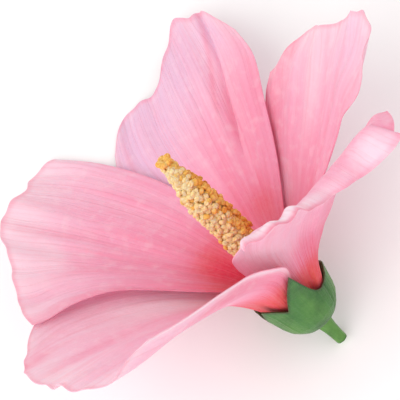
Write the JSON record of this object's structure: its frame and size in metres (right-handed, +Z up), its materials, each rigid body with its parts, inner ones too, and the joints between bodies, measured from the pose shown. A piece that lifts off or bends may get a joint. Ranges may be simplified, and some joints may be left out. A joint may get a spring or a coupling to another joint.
{
  "type": "cut rose of sharon bloom",
  "caption": "Open funnel-shaped flower with broad pink petals, a golden column of stamens and a green lobed calyx on a short cut stalk, lying on its side.",
  "frame": {"origin": "on the ground, under the middle of the bloom's bounding box as it lies", "axes": "+Z up from the ground it lies on; seen from above, the mouth opens towards -X +Y and the cut end of the stalk points towards +X -Y"},
  "size_m": [0.0706, 0.0718, 0.0553],
  "materials": {
    "petal": "satin",
    "calyx": "matte",
    "stalk": "matte",
    "stamens": "matte",
    "stigma": "matte"
  },
  "bodies": {
    "root": {"petal_back": "petal", "petal_right": "petal", "petal_front": "petal", "petal_lower": "petal", "petal_left": "petal", "calyx": "calyx", "stalk": "stalk", "column": "stamens", "style": "stigma"}
  },
  "joints": []
}
